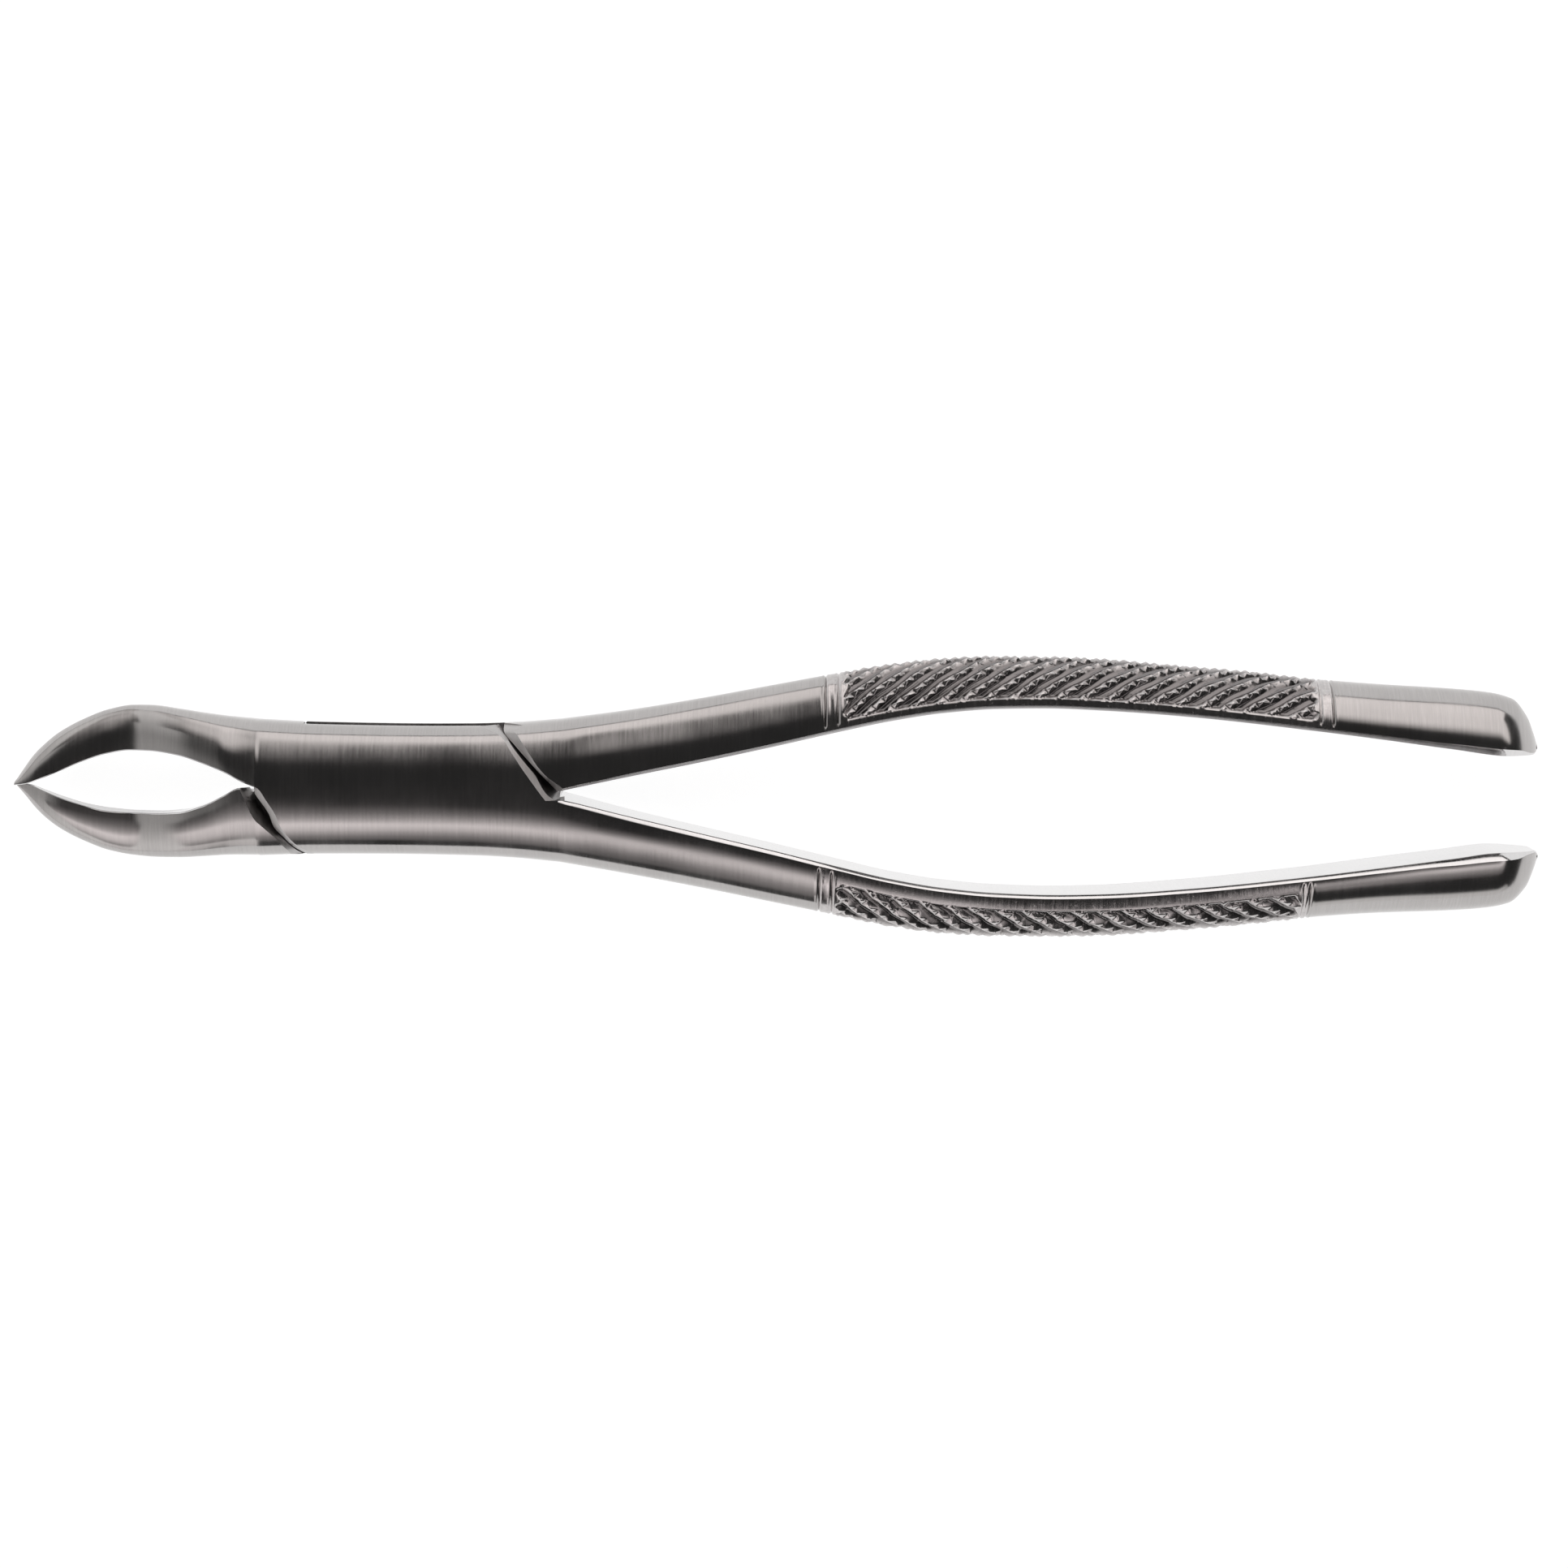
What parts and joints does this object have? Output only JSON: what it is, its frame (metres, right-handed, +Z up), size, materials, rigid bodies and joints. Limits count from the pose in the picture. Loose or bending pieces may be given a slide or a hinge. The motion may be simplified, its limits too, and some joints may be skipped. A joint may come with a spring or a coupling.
{
  "type": "dental extraction forceps",
  "caption": "Steel dental forceps for upper molars: two crossed halves on a lap joint, curved beaks to grip a tooth, knurled grips on sprung-out handles.",
  "frame": {"origin": "centre of the pivot pin's flat head, on the pivot axis, at the underside that the forceps lie on", "axes": "+X along the forceps towards the handle ends, +Y towards the side of the front half's beak, +Z up along the pivot axis"},
  "size_m": [0.1754, 0.0322, 0.0108],
  "materials": {
    "satin_steel": "satin brushed stainless steel",
    "polished_steel": "finely polished stainless steel"
  },
  "bodies": {
    "front": {"front_half": "satin_steel", "pivot_pin": "polished_steel"},
    "rear": {"rear_half": "satin_steel"}
  },
  "joints": [
    {"name": "pivot", "type": "hinge", "parent": "front", "child": "rear", "pos_m": [0, 0, 0.0054], "axis": [0, 0, 1], "range_deg": [0, 45]}
  ]
}
